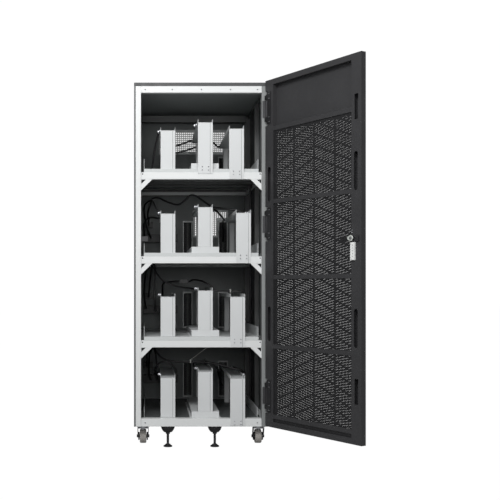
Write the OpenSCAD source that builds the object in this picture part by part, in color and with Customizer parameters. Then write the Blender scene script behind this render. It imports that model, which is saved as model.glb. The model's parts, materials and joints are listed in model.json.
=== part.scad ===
// Open battery rack cabinet: a welded frame with four tiers, three battery
// hold-downs per tier, a perforated door on side hinges, casters and
// levelling feet.
// Frame: +X to the right seen from the front, +Y towards the rear, +Z up.
// Origin: centre of the underside of the base frame.

/* [Cabinet] */
// Width over the side panels
body_w = 600; // [560:10:700]
// Depth from the frame's front face to the rear panel
body_d = 750; // [700:10:900]
// Height from the base frame's underside to the top of the roof
body_h = 1533; // [1500:1:1600]
// Thickness of the outer sheet panels
skin_t = 1.5; // [1:0.5:2]
// Height of the roof pan's skirt
roof_h = 16; // [12:1:20]

/* [Frame] */
// Width of a corner upright seen from the front
post_w = 29.5; // [25:0.5:32]
// Depth of a corner upright
post_d = 40; // [30:1:45]
// Wall of the frame tubes
tube_t = 2; // [1.5:0.5:2.5]
// Height of the top rail
top_rail_h = 29; // [24:1:32]
// Height of the base rails
base_h = 35; // [33:1:37]
// Setback of the shelf rails behind the frame's front face
rail_set = 4; // [4:0.5:6]

/* [Tiers] */
// Height of the lowest shelf above the base frame's underside
first_shelf = 400; // [395:1:410]
// Pitch of the shelves
tier_pitch = 375; // [370:1:376]
// Height of a shelf's front edge
lip_h = 47; // [44:1:50]
// Height of the tray's own folded edge, above the rail
fold_h = 15.5; // [12:0.5:18]
// Height of the side guides on a tray
guide_h = 45; // [30:1:50]
// Leg of a corner gusset
gusset_leg = 51; // [45:1:56]

/* [Hold-downs] */
// Width of a hold-down
hold_w = 66; // [60:1:68]
// Height of the bar's web above the tray
hold_h = 178; // [170:1:185]
// Depth at which the rear leg stands
hold_d = 556; // [540:1:570]
// Height of the bar's two edges above its web
ear_h = 14; // [12:1:16]
// Sheet of the hold-downs
hold_t = 2; // [1.5:0.5:2.5]
// Width of a rear leg
rear_leg_w = 26; // [22:1:40]
// Height of the pedestal under a middle hold-down
ped_h = 28; // [24:1:30]
// Width of a pedestal over its sides
ped_w = 124; // [118:1:126]

/* [Door] */
// Width of the door
door_w = 585; // [560:1:590]
// Height of the door
door_h = 1531; // [1500:1:1540]
// Thickness of the door
door_t = 24; // [22:1:26]
// Opening angle at which the door stands
door_open = 121.5; // [0:0.5:135]
// Width of a stile on the inner face
stile_w = 52; // [48:1:56]
// Vertical pitch of the chevron bands
chevron_pitch = 49; // [45:1:60]
// Height of a solid chevron stripe
stripe_h = 9; // [7:1:14]

/* [Running gear] */
// Wheel diameter
wheel_d = 63; // [60:1:65]
// Wheel width
wheel_w = 30; // [26:1:31]
// Height of a caster under the base frame
caster_h = 84; // [82:1:88]
// Trail of the wheel axle behind the swivel axis
trail = 20; // [16:1:22]
// Drop of a levelling foot's pad under the base frame
foot_drop = 99; // [92:1:108]
// Diameter of a foot's pad
pad_d = 40; // [36:1:44]
// Diameter of a foot's threaded stem
stem_d = 12; // [10:1:12]

/* [Hidden] */
$fn = 32;
yf = -body_d/2;                 // front face of the frame
yr = body_d/2;                  // outer face of the rear panel
px = body_w/2;                  // outer side face
po = px - skin_t;               // outer face of the frame
pin = po - post_w;              // inner face of an upright
zt = body_h - roof_h;           // top of the frame
tier_z = [base_h, first_shelf, first_shelf + tier_pitch, first_shelf + 2*tier_pitch];
tray_x = 256;                   // half width of a tray
left_x = -148;
mid_x = [20, 20, 20, 18];
right_x = [162, 162, 188, 157];
mid_y = [33, 33, 33, 2];        // front leg positions behind the frame's face
left_y = 45;
right_y = rail_set - hold_t;
// door, drawn closed and turned about the hinge axis
hx = 290;
hy = yf - 12;
dg = 6;                         // gap between the frame and the door
dr = door_w/2;                  // hinge-side edge of the closed door
dz0 = 5;
dz1 = dz0 + door_h;
di = yf - dg;                   // inner face of the closed door
hinge_z = [1413, 901, 140];
bar_z = [1318, 998, 665, 361, 54];
win_u0 = stile_w;
win_u1 = door_w - 54;
col_u = [186.5, 311, 434];      // solid strips between the columns of the perforation
// latch
lu = 541;
lz = 813;
// running gear
caster_x = 260;
caster_y = 50;
foot_x = [-148, 64];
foot_y = 60;

// ---------- helpers ----------
// a box by its corners, y measured from the frame's front face
module bx(x0, x1, y0, y1, z0, z1) translate([x0, yf + y0, z0]) cube([x1 - x0, y1 - y0, z1 - z0]);
// tubes along X, Y and Z
module tube_x(x0, x1, y0, y1, z0, z1, t = tube_t) difference() { bx(x0, x1, y0, y1, z0, z1); bx(x0 - 1, x1 + 1, y0 + t, y1 - t, z0 + t, z1 - t); }
module tube_y(x0, x1, y0, y1, z0, z1, t = tube_t) difference() { bx(x0, x1, y0, y1, z0, z1); bx(x0 + t, x1 - t, y0 - 1, y1 + 1, z0 + t, z1 - t); }
module tube_z(x0, x1, y0, y1, z0, z1, t = tube_t) difference() { bx(x0, x1, y0, y1, z0, z1); bx(x0 + t, x1 - t, y0 + t, y1 - t, z0 - 1, z1 + 1); }
// mirrored copies left and right
module both() { children(); mirror([1, 0, 0]) children(); }
// a pan-head screw whose head stands on the plane y, facing the front
module screw_f(x, y, z, r = 4, h = 2) translate([x, yf + y, z]) rotate([90, 0, 0]) cylinder(r1 = r, r2 = r*0.6, h = h);

// ---------- frame ----------
module upright_front_left() color([0.90, 0.91, 0.91]) mirror([1, 0, 0]) tube_z(pin, po, 0, post_d, 0, zt);
module upright_front_right() color([0.90, 0.91, 0.91]) tube_z(pin, po, 0, post_d, 0, zt);
module uprights_rear() color([0.30, 0.32, 0.32]) both() tube_z(pin, po, body_d - 2 - post_d, body_d - 2, 0, zt);
module uprights_middle() color([0.30, 0.32, 0.32]) both() tube_z(po - 20, po, 339, 369, base_h, zt - 10);
module top_frame() color([0.92, 0.93, 0.93]) {
  tube_x(-pin + 0.2, pin - 0.2, 0, 30, zt - top_rail_h, zt);
  tube_x(-pin + 0.2, pin - 0.2, 670, 706, zt - 33, zt);
  both() tube_y(po - 14, po, post_d + 0.2, body_d - 2.2 - post_d, zt - 10, zt, 1.5);
}
module base_frame() color([0.88, 0.89, 0.89]) {
  tube_x(-pin + 0.2, pin - 0.2, rail_set, 44, 0, base_h);
  tube_x(-pin + 0.2, pin - 0.2, 706, body_d - 2, 0, base_h);
  both() tube_y(pin, po, post_d + 0.2, body_d - 2.2 - post_d, 0, base_h);
}
module base_tray() color([0.70, 0.72, 0.72]) bx(-pin, pin, 44, 706, base_h - 2, base_h);
// flat bars across the base: two carry the feet, the middle one closes the frame
module foot_beams() color([0.30, 0.30, 0.30]) {
  for (y = [44.2, 664]) difference() {
    bx(-pin + 0.2, pin - 0.2, y, y + 41.8, 0, 4);
    for (x = foot_x) translate([x, yf + (y < 100 ? foot_y : body_d - foot_y), -1]) cylinder(r = stem_d/2 + 0.5, h = 6);
  }
  bx(-pin + 0.2, pin - 0.2, body_d/2 - 20, body_d/2 + 20, 0, 4);
}
module roof_panel() color([0.24, 0.24, 0.25]) difference() {
  bx(-px, px, 0, body_d, zt, body_h);
  bx(-px + skin_t, px - skin_t, skin_t, body_d - skin_t, zt - 1, body_h - 2);
}
module side_panel(s) color([0.24, 0.24, 0.25]) bx(s < 0 ? -px : po, s < 0 ? -po : px, 2, body_d - 2, 0, zt);
// the left panel is folded round the front edge of the upright
module side_panel_left() color([0.24, 0.24, 0.25]) {
  bx(-px, -po, -1.4, body_d - 2, 0, zt);
  bx(-po, -px + 7.5, -1.4, -0.1, 0, zt);
}
module side_panel_right() side_panel(1);

// ---------- rear wall ----------
v1 = [-172, 172, 1335, 1448];
v2 = [8, 176, 895, 1021];
v2_step = [122, 981];           // the lower vent is higher right of this x, to clear the cable entry
module rear_panel() color([0.32, 0.33, 0.33]) difference() {
  bx(-px, px, body_d - 2, body_d, 0, zt);
  bx(v1[0], v1[1], body_d - 3, body_d + 1, v1[2], v1[3]);
  bx(v2[0], v2_step[0], body_d - 3, body_d + 1, v2[2], v2[3]);
  bx(v2_step[0] - 1, v2[1], body_d - 3, body_d + 1, v2_step[1], v2[3]);
}
// a sheet with square holes over a window, less the part below a step
module mesh(v, step, pitch = 10.5, hole = 6.8) {
  nx = floor((v[1] - v[0])/pitch); nz = floor((v[3] - v[2])/pitch);
  cx = (v[0] + v[1])/2; cz = (v[2] + v[3])/2;
  difference() {
    bx(v[0] - 8, v[1] + 8, body_d - 3.2, body_d - 2, v[2] - 8, v[3] + 8);
    bx(step[0] + 8, v[1] + 9, body_d - 4, body_d - 1, v[2] - 9, step[1] - 6);
    for (i = [0:nx - 1], k = [0:nz - 1])
      if (cx + (i - (nx - 1)/2)*pitch + hole/2 < step[0] || cz + (k - (nz - 1)/2)*pitch - hole/2 > step[1]) bx(cx + (i - (nx - 1)/2)*pitch - hole/2, cx + (i - (nx - 1)/2)*pitch + hole/2, body_d - 4, body_d - 1,
         cz + (k - (nz - 1)/2)*pitch - hole/2, cz + (k - (nz - 1)/2)*pitch + hole/2);
  }
}
module vent_meshes() color([0.55, 0.56, 0.56]) { mesh(v1, [v1[1], v1[2]]); mesh(v2, v2_step); }
// slots in the rear wall closed by brushes: centre, bottom, top
entries = [for (k = [0:2], x = [-29, 158]) [x, tier_z[k] + 14, tier_z[k] + 190], [158, tier_z[3] + 14, tier_z[3] + 156]];
module cable_entry_frames() color([0.55, 0.57, 0.57]) for (e = entries) difference() {
  bx(e[0] - 26, e[0] + 26, body_d - 9, body_d - 2, e[1] - 8, e[2] + 8);
  bx(e[0] - 20, e[0] + 20, body_d - 10, body_d - 1, e[1], e[2]);
}
module cable_entry_brushes() color([0.10, 0.10, 0.10]) for (e = entries)
  bx(e[0] - 20, e[0] + 20, body_d - 7, body_d - 3, e[1], e[2]);

// ---------- shelves ----------
module shelf_rails() color([0.92, 0.93, 0.93]) for (k = [1:3]) {
  z = tier_z[k];
  tube_x(-pin + 0.2, pin - 0.2, rail_set, 34, z - lip_h, z - fold_h - 0.5);
  tube_x(-pin + 0.2, pin - 0.2, 676, 706, z - lip_h, z - 2.2);
  both() tube_y(pin, po - 20.2, post_d + 0.2, body_d - 2.2 - post_d, z - lip_h, z - 2.2);
}
rib_y = [100, 200, 300, 440, 540, 630];
module shelf_ribs() color([0.32, 0.34, 0.34]) for (k = [1:3], y = rib_y) {
  z = tier_z[k] - 2;
  difference() {
    bx(-pin + 0.2, pin - 0.2, y, y + 34, z - 30, z);
    bx(-pin - 1, pin + 1, y + 2, y + 32, z - 28, z + 1);
  }
}
// a tray sheet with its front edge folded down over the rail
module tray(k) color([0.80, 0.82, 0.82]) {
  z = tier_z[k];
  bx(-tray_x, tray_x, 9, 704, z - 2, z);
  bx(-tray_x, tray_x, 9, 11, z - fold_h, z - 2);
}
module shelf_trays() { tray(3); tray(2); tray(1); }
module tray_guides() color([0.85, 0.87, 0.87]) for (k = [0:3]) both() {
  z = tier_z[k];
  bx(tray_x - 2, tray_x, k == 0 ? 46 : 20, 560, z, z + guide_h);
}
// a corner gusset: a 45 degree bar with an open triangle left in the corner
module gussets() color([0.93, 0.94, 0.94]) for (k = [1:3]) both() {
  z = tier_z[k] - lip_h;
  translate([pin, yf + rail_set + 3, z]) rotate([90, 0, 0]) linear_extrude(height = 3)
    difference() {
      polygon([[0, 0], [-gusset_leg, 0], [0, -gusset_leg]]);
      polygon([[-2, -2], [-20, -2], [-2, -20]]);
    }
}

// ---------- battery hold-downs ----------
// a leg: a plate facing front (s = 1) or rear (s = -1), with two sides folded back from height zf upward
module leg(x, y, z0, z1, w, s, zf) {
  d = 12; t = hold_t;
  bx(x - w/2, x + w/2, s > 0 ? y : y - t, s > 0 ? y + t : y, z0, z1);
  for (a = [-1, 1]) bx(a < 0 ? x - w/2 : x + w/2 - t, a < 0 ? x - w/2 + t : x + w/2,
    s > 0 ? y + t : y - d, s > 0 ? y + d : y - t, zf, z1);
}
module hold_down_front_legs() color([0.84, 0.86, 0.86]) for (k = [0:3]) {
  z = tier_z[k]; zb = z + hold_h - hold_t;
  leg(left_x, left_y, z, zb, hold_w, 1, z);
  leg(mid_x[k], mid_y[k], k == 3 ? z - 23 : z + ped_h, zb + ped_h, hold_w, 1, z + (k == 3 ? 0 : ped_h));
  leg(right_x[k], right_y, k == 0 ? 3 : z - lip_h, zb, hold_w, 1, z);
}
module hold_down_rear_legs() color([0.84, 0.86, 0.86]) for (k = [0:3]) {
  z = tier_z[k]; zb = z + hold_h - hold_t;
  leg(left_x, hold_d + 2, z, zb, rear_leg_w, -1, z);
  leg(mid_x[k], hold_d + 2, z + ped_h, zb + ped_h, rear_leg_w, -1, z + ped_h);
  leg(right_x[k], hold_d + 2, z, zb, rear_leg_w, -1, z);
}
// a bar: a flat web between two upright edges
module bar(x, y, z) {
  t = hold_t; w = hold_w;
  difference() {
    bx(x - w/2, x + w/2, y, hold_d + 2, z - t, z + ear_h);
    bx(x - w/2 + t, x + w/2 - t, y - 1, hold_d + 3, z, z + ear_h + 1);
  }
}
module hold_down_bars() color([0.80, 0.82, 0.82]) for (k = [0:3]) {
  z = tier_z[k] + hold_h;
  bar(left_x, left_y, z);
  bar(mid_x[k], mid_y[k], z + ped_h);
  bar(right_x[k], right_y, z);
}
// a hat-section pedestal with two short feet and a closed front
module pedestals() color([0.84, 0.86, 0.86]) for (k = [0:3]) {
  w = ped_w/2; h = ped_h;
  bx(mid_x[k] - w, mid_x[k] + w, 33, 35, tier_z[k], tier_z[k] + h);
  translate([mid_x[k], yf + hold_d + 2, tier_z[k]]) rotate([90, 0, 0]) linear_extrude(height = hold_d + 2 - 35)
    polygon([[-w - 8, 0], [-w + 2, 0], [-w + 2, h - 2], [w - 2, h - 2], [w - 2, 0], [w + 8, 0], [w + 8, 2], [w, 2], [w, h], [-w, h], [-w, 2], [-w - 8, 2]]);
}

// ---------- wiring ----------
module wiring_ducts() color([0.12, 0.12, 0.12]) for (k = [0:2]) {
  z = tier_z[k];
  bx(-262, -84, body_d - 42, body_d - 2, z + 84, z + 126);
  bx(-262, -214, body_d - 30, body_d - 2, z + 160, z + 192);
}
// a smooth curve through the points: n steps between each pair
function cr(a, b, c, d, t) = 0.5*(2*b + (c - a)*t + (2*a - 5*b + 4*c - d)*t*t + (3*b - a - 3*c + d)*t*t*t);
function smooth(p, n) = [for (i = [0:len(p) - 2], k = [0:n - 1])
  cr(p[max(i - 1, 0)], p[i], p[i + 1], p[min(i + 2, len(p) - 1)], k/n), p[len(p) - 1]];
function unit(v) = v/max(norm(v), 1e-9);
function tangent(p, i) = unit(p[min(i + 1, len(p) - 1)] - p[max(i - 1, 0)]);
// the side direction carried along the curve without twisting
function carry(t, u) = unit(u - (u*t)*t);
function sides(t, i = 0, u = [0.31, 0.77, 0.55]) = i >= len(t) ? [] : let (v = carry(t[i], u)) concat([v], sides(t, i + 1, v));
module tube(route, r, n = 3, m = 8) {
  p = smooth(route, n); c = len(p); e = len(route) - 1;
  // both ends are cut square to the route's first and last stretch
  t = [for (i = [0:c - 1]) i == 0 ? unit(route[1] - route[0]) : i == c - 1 ? unit(route[e] - route[e - 1]) : tangent(p, i)];
  s = sides(t);
  polyhedron(points = [for (i = [0:c - 1], j = [0:m - 1]) let (b = cross(t[i], s[i]))
      p[i] + r*(cos(360*j/m)*s[i] + sin(360*j/m)*b)],
    faces = concat([[for (j = [0:m - 1]) m - 1 - j]], [[for (j = [0:m - 1]) (c - 1)*m + j]],
      [for (i = [0:c - 2], j = [0:m - 1]) [i*m + j, i*m + (j + 1)%m, (i + 1)*m + (j + 1)%m, (i + 1)*m + j]]));
}
// routes use the depth behind the frame's front face as their second number
function at(q) = [q[0], yf + q[1], q[2]];
module cable(route, r = 4.6) color([0.07, 0.07, 0.07]) tube([for (q = route) at(q)], r);

// lugs: x of the ear's face, side of the ear, height of the bar's web
lug_y = 112;
lugs = [for (k = [0:3]) each [[left_x - hold_w/2, -1, tier_z[k] + hold_h], [mid_x[k] - hold_w/2, -1, tier_z[k] + hold_h + ped_h],
  k == 2 ? [right_x[k] + hold_w/2 - hold_t, -1, tier_z[k] + hold_h] : [right_x[k] + hold_w/2, 1, tier_z[k] + hold_h]]];
// a lug: palm against the ear, bolt head, and a barrel reaching back
module cable_lugs() color([0.75, 0.76, 0.78]) for (l = lugs) translate([l[0], yf + lug_y, l[2]]) {
  s = l[1];
  translate([s < 0 ? -3 : 0, -9, 0.3]) cube([3, 24, 16]);
  translate([s < 0 ? -7.5 : 3, 0, 8]) rotate([0, 90, 0]) cylinder(r = 6, h = 4.5, $fn = 6);
  translate([s*6.8, 13, 8]) rotate([-90, 0, 0]) cylinder(r = 6.3, h = 24);
}

// ---------- cables ----------
module cables_1() {
  cable([[-187.8, 149, 1336], [-187.8, 162, 1336], [-195, 176, 1318], [-205, 190, 1275], [-212, 205, 1225], [-218, 225, 1180], [-212, 255, 1157],
    [-205, 350, 1156], [-205, 540, 1156], [-170, 620, 1156], [-60, 645, 1156], [60, 655, 1162], [130, 670, 1185], [155, 695, 1203], [158, 728, 1205], [158, 743, 1205]]);
  cable([[-115, 540, 1335], [-105, 540, 1335], [-61, 542, 1350], [-25, 540, 1363], [-15, 540, 1363]]);
  cable([[-135, 551, 1300], [-125, 551, 1300], [-61, 552, 1312], [-6, 551, 1330], [5, 551, 1330]]);
  cable([[51, 540, 1363], [62, 540, 1363], [92, 542, 1354], [113, 540, 1335], [124, 540, 1335]]);
}
module cables_2() {
  cable([[-225, 708, 885], [-225, 692, 885], [-245, 620, 930], [-256, 540, 985], [-258, 470, 1015], [-250, 425, 1035], [-229, 400, 1047], [-195, 380, 1060],
    [-141, 350, 1034], [-94, 330, 1020], [-65, 310, 1036], [-34, 300, 1062], [-4, 290, 1055], [35, 260, 1024], [73, 230, 998], [134, 202, 987],
    [165, 194, 983], [192, 184, 974], [210, 176, 963], [212.2, 162, 961], [212.2, 149, 961]]);
  cable([[-187.8, 149, 961], [-187.8, 162, 961], [-206, 185, 1003], [-219, 230, 1030], [-229, 300, 1012], [-239, 400, 981], [-236, 520, 960],
    [-235, 620, 951], [-235, 700, 951], [-235, 720, 951]]);
  cable([[53, 250, 988], [62, 250, 988], [82, 265, 988], [102, 300, 975], [126, 360, 958], [138, 450, 953], [141, 550, 953], [150, 640, 915], [158, 722, 870], [158, 743, 870]]);
  cable([[-250, 708, 875], [-250, 692, 875], [-258, 600, 890], [-258, 500, 935], [-245, 430, 958], [-219, 402, 964], [-195, 392, 960], [-181, 392, 960]]);
}
module cables_3() {
  cable([[-250, 708, 515], [-250, 696, 515], [-251, 680, 520], [-258, 620, 600], [-250, 500, 690], [-235, 350, 724], [-215, 275, 718], [-191, 250, 679], [-158, 240, 646],
    [-97, 230, 625], [-42, 205, 617], [-22, 175, 614], [-19.8, 162, 614], [-19.8, 149, 614]]);
  cable([[-45, 330, 650], [-36, 330, 650], [-19, 300, 658], [11, 225, 652], [33, 203, 641], [56, 196, 627], [76, 193, 608], [119, 190, 602],
    [165, 190, 603], [190, 186, 603], [203, 180, 597], [202.4, 170, 588], [201.8, 160, 586], [201.8, 149, 586]]);
  cable([[-85, 330, 650], [-95, 330, 650], [-130, 350, 648], [-155, 420, 645], [-165, 510, 632], [-165, 575, 607], [-160, 640, 540], [-151, 674, 509], [-150, 693, 505], [-150, 708, 505]]);
  cable([[-235, 720, 576], [-235, 708, 576], [-235, 692, 582], [-225, 640, 680], [-215, 500, 727], [-208, 360, 730], [-204, 308, 702], [-207, 312, 608], [-205, 330, 521],
    [-200, 500, 500], [-198, 672, 505], [-198, 692, 505], [-198, 708, 505]]);
}
module cables_4() {
  cable([[-245, 720, 211], [-245, 708, 211], [-245, 690, 215], [-245, 600, 300], [-235, 450, 345], [-215, 320, 345], [-203, 270, 325], [-181, 250, 293], [-144, 240, 276],
    [-87, 230, 270], [6, 222, 270], [75, 210, 264], [125, 200, 252], [170, 192, 241], [190, 186, 239], [203, 180, 231], [202.4, 170, 223], [201.8, 160, 221], [201.8, 149, 221]]);
  cable([[-225, 708, 140], [-225, 692, 140], [-235, 620, 180], [-230, 500, 290], [-212, 390, 322], [-203, 310, 308], [-198, 275, 262], [-198, 250, 243],
    [-203, 210, 240], [-195, 175, 262], [-170, 158, 275], [-150, 153, 276], [-126, 160, 262], [-109, 185, 238], [-105, 212, 222],
    [-104, 260, 216], [-104, 400, 215], [-105, 550, 213], [-118, 635, 170], [-129, 676, 143], [-130, 694, 140], [-130, 708, 140]]);
  cable([[-187.8, 149, 221], [-187.8, 162, 221], [-194, 185, 221], [-204, 240, 218], [-206, 400, 216], [-205, 555, 214], [-200, 625, 185], [-191, 674, 145], [-190, 693, 140], [-190, 708, 140]]);
  cable([[-19.8, 149, 249], [-19.8, 162, 249], [-24, 190, 249], [-24, 235, 251], [-20, 258, 262], [2, 266, 267], [30, 266, 267], [56, 262, 264], [76, 257, 247],
    [92, 275, 232], [102, 320, 219], [106, 430, 215], [112, 550, 214], [138, 650, 130], [158, 725, 100], [158, 743, 100]]);
  cable([[261, 380, 35], [261, 380, 200], [261, 380, 400], [261, 380, 600], [261, 380, 800], [261, 380, 1000], [261, 380, 1105]], 4);
}
// an inline connector, and the box in which the riser ends
module cable_plugs() color([0.05, 0.05, 0.05]) {
  difference() {
    bx(-85, -45, 319, 341, 640, 660);
    for (x = [-78, -70, -62]) bx(x, x + 3, 318, 342, 658.5, 661);
  }
  bx(255.5, 268.8, 368, 392, 1105, 1142);
}
// cable ties: bands around straight stretches, one with its tail left on
module tie(x, y, z, a = 0) translate([x, yf + y, z]) rotate([0, 0, a]) {
  rotate([0, 90, 0]) difference() { cylinder(r = 6.4, h = 4.6, center = true); cylinder(r = 5.1, h = 6, center = true); }
  translate([-3.3, -3.5, 5.7]) cube([6.6, 7, 4.5]);
}
module cable_ties() color([0.85, 0.86, 0.84]) {
  tie(-38, 225.8, 270.3, -5);
  translate([-38, yf + 223.5, 278.5]) rotate([0, -37, 0]) translate([0, 0, 0]) cube([100, 4.4, 1.4]);
  tie(146, 189.6, 602.4);
}

// ---------- fasteners ----------
module frame_screws() color([0.72, 0.73, 0.74]) {
  for (x = [-250, -130, 0, 130, 250]) screw_f(x, 0, zt - 15, 3.2, 1.8);
  for (x = [-250, 250]) screw_f(x, rail_set, base_h/2, 3.2, 1.8);
  for (x = [-14, 14], z = [9, -6]) screw_f(mid_x[3] + x, mid_y[3], tier_z[3] + z, 3, 1.6);
  for (k = [0:3], x = [-14, 14], z = [-11, -26]) screw_f(right_x[k] + x, right_y, tier_z[k] + z, 3, 1.6);
  for (k = [1:3], x = [-262, 262]) screw_f(x, rail_set, tier_z[k] - 24, 3, 1.6);
}

// ---------- hinges ----------
// each part of the three hinges is drawn about its pin's centre
module at_hinges() for (z = hinge_z) translate([hx, hy, z]) children();
module hinge_frame_leaves() color([0.20, 0.20, 0.21]) at_hinges() difference() {
  union() {
    translate([-18, 9, -37.5]) cube([25, 3, 75]);
    translate([-4, 0, -37.5]) cube([8, 11, 75]);
    translate([0, 0, -37.5]) cylinder(r = 5.5, h = 75);
  }
  translate([0, 0, -40]) cylinder(r = 3.05, h = 80);
}
module hinge_pins() color([0.72, 0.73, 0.75]) at_hinges() {
  translate([0, 0, -60]) cylinder(r = 3, h = 120.5);
  translate([0, 0, 60]) cylinder(r = 4.5, h = 3);
}
// everything on the door is drawn closed and turned about the hinge axis
module turned() translate([hx, hy, 0]) rotate([0, 0, door_open]) translate([-hx, -hy, 0]) children();
// a box on the closed door: u from the hinge-side edge, v from the inner face outwards
module db(u0, u1, v0, v1, z0, z1) translate([dr - u1, di - v1, z0]) cube([u1 - u0, v1 - v0, z1 - z0]);
// a cylinder through the closed door
module dc(u, v0, v1, z, r) translate([dr - u, di - v0, z]) rotate([90, 0, 0]) cylinder(r = r, h = v1 - v0);
module hinge_door_leaves() color([0.20, 0.20, 0.21]) turned() at_hinges() difference() {
  union() {
    translate([-35.5, 6, -71]) cube([23.5, 2.5, 142]);
    for (z = [39, -58]) translate([-13, -5.5, z]) cube([18.5, 14, 19]);
    for (x = [-29, -22], z = [-62, -41, 41, 62]) translate([x, 8, z]) rotate([-90, 0, 0]) cylinder(r1 = 3, r2 = 2, h = 1.8);
  }
  translate([0, 0, -60]) cylinder(r = 3.05, h = 120);
}

// ---------- door ----------
module slot_cut(u, z) { db(u - 10.5, u + 10.5, -1, 2, z - 65.5, z + 65.5); for (s = [-65.5, 65.5]) dc(u, -1, 2, z + s, 10.5); }
module door_shell() color([0.20, 0.20, 0.21]) turned() difference() {
  db(0, door_w, 0, door_t, dz0, dz1);
  db(stile_w, win_u1, -1, door_t - 1.5, dz0 + 24, dz1 - 24);
  db(1.5, stile_w - 1.5, 1.5, door_t - 1.5, dz0 + 1.5, dz1 - 1.5);
  db(win_u1 + 1.5, door_w - 1.5, 1.5, door_t - 1.5, dz0 + 1.5, dz1 - 1.5);
  for (z = [dz0 + 1.5, dz1 - 22.5]) db(stile_w, win_u1, 1.5, door_t - 1.5, z, z + 21);
  db(win_u0 + 2, win_u1 - 2, door_t - 2, door_t + 1, 36, 1306);
  for (z = hinge_z) db(-1, 16, -1, 18, z - 77, z + 77);
  for (u = [26, 555], z = [1076, 460]) slot_cut(u, z);
  for (z = [1276, 163]) db(548, 568, -1, 2, z, z + 100);
  dc(lu, -1, door_t + 1, lz, 8);
  dc(lu, door_t - 2, door_t + 1, lz - 32, 8);
}
module door_crossbars() color([0.17, 0.17, 0.18]) turned() for (z = bar_z) db(win_u0, win_u1, 0.5, 3.8, z - 9.5, z + 9.5);
// a sheet with chevron openings in four columns
cols = [[56, 182], [191, 306.5], [315.5, 429.5], [438.5, 527]];
function chev(u, j) = 36 + chevron_pitch*j - 0.4*abs(u - 311);
module door_perforated_panel() color([0.14, 0.14, 0.15]) turned() difference() {
  db(win_u0, win_u1, 4, 5.2, dz0 + 24, 1326);
  for (c = cols, j = [0:29]) let (a = chev(c[0], j), b = chev(c[1], j), h = chevron_pitch - stripe_h)
    if (min(a, b) > 36 && max(a, b) + h < 1302)
      translate([0, di - 3, 0]) rotate([90, 0, 0]) linear_extrude(height = 4)
        polygon([[dr - c[0], a], [dr - c[0], a + h], [dr - c[1], b + h], [dr - c[1], b]]);
}

// ---------- latch ----------
module latch_case() color([0.86, 0.87, 0.87]) turned() {
  db(531, 554, -7, 0, 727, 797);
  for (z = [733, 791]) dc(542, -8.4, -6.5, z, 2.6);
}
module latch_escutcheon() color([0.10, 0.10, 0.11]) turned() difference() {
  union() {
    db(519, 563, door_t, 27, 764, 836);
    dc(lu, 26, 27.2, lz, 15);
    dc(lu, 26, 29, lz - 32, 10);
  }
  dc(lu, door_t - 1, 30, lz, 6.05);
  dc(lu, door_t - 1, 30, lz - 32, 7.05);
}
module lock_plug() color([0.75, 0.76, 0.78]) turned() difference() {
  dc(lu, 18, 29.5, lz - 32, 7);
  db(lu - 0.6, lu + 0.6, 25, 31, lz - 36, lz - 28);
}
module latch_spindle() color([0.70, 0.71, 0.73]) turned() {
  dc(lu, -16, 28, lz, 6);
  dc(lu, 27.5, 31, lz, 13);
  for (z = [lz - 11.5, lz + 8.5]) db(lu - 13, lu + 5, 30.5, 43, z, z + 3);
  translate([dr - lu + 5, di - 37, lz - 10]) cylinder(r = 2, h = 20);
}
module latch_cam() color([0.78, 0.79, 0.80]) turned() difference() {
  union() {
    dc(lu, -15, -12, lz, 11.5);
    dc(lu - 12, -15, -12, lz, 6.5);
    translate([0, di + 15, 0]) rotate([90, 0, 0]) linear_extrude(height = 3)
      polygon([for (q = [[-4.79, 10.45], [-14.71, 5.91], [-14.71, -5.91], [-4.79, -10.45]]) [dr - lu - q[0], lz + q[1]]]);
  }
  dc(lu, -16, -11, lz, 6.05);
}
module latch_handle() color([0.12, 0.12, 0.13]) turned() difference() {
  union() {
    translate([dr - lu + 5, di - 37, lz - 8.2]) cylinder(r = 5.5, h = 16.4);
    db(440, lu - 5, 33, 41, lz - 8.2, lz + 8.2);
    dc(440, 33, 41, lz, 8.2);
    dc(456, 40, 42, lz, 5);
  }
  translate([dr - lu + 5, di - 37, lz - 12]) cylinder(r = 2.05, h = 24);
}
// the plate on the left upright behind which the cam turns
module latch_keeper() color([0.12, 0.12, 0.12]) {
  bx(-pin, -238, 1, 4, lz + 13, lz + 35);
  bx(-pin, -pin + 3, 1, 25, lz + 13, lz + 35);
}

// ---------- casters ----------
caster_at = [for (y = [yf + caster_y, yr - caster_y], x = [-caster_x, caster_x]) [x, y, 0]];
module caster_plates() color([0.72, 0.73, 0.74]) for (p = caster_at) translate(p) {
  translate([-30, -30, -3]) cube([60, 60, 3]);
  translate([0, 0, -10]) cylinder(r = 21, h = 7.5);
  translate([0, 0, -17]) cylinder(r = 5, h = 8);
  translate([0, 0, -20]) cylinder(r = 8, h = 3);
  for (x = [-23, 23], y = [-23, 23]) translate([x, y, -6]) cylinder(r = 4.5, h = 3.5, $fn = 6);
}
axle_z = -caster_h + wheel_d/2;
module caster_fork(i) color([0.74, 0.75, 0.76]) translate(caster_at[i - 1]) {
  difference() {
    union() {
      translate([-25, -17, -14]) cube([50, 34, 3]);
      translate([0, 0, -14]) cylinder(r = 20, h = 3);
      for (s = [22, -25]) translate([s, 0, 0]) rotate([90, 0, 90]) linear_extrude(height = 3)
        polygon([[-17, -14], [17, -14], [trail + 8, axle_z + 9], [trail + 8, axle_z - 6], [trail - 8, axle_z - 6]]);
    }
    translate([0, 0, -20]) cylinder(r = 5.05, h = 12);
    translate([-30, trail, axle_z]) rotate([0, 90, 0]) cylinder(r = 4.05, h = 60);
  }
  translate([-27.5, trail, axle_z]) rotate([0, 90, 0]) cylinder(r = 4, h = 55);
  for (s = [25.1, -28.6]) translate([s, trail, axle_z]) rotate([0, 90, 0]) cylinder(r = 7, h = 3.5, $fn = 6);
}
module caster_fork_1() caster_fork(1);
module caster_fork_2() caster_fork(2);
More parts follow.
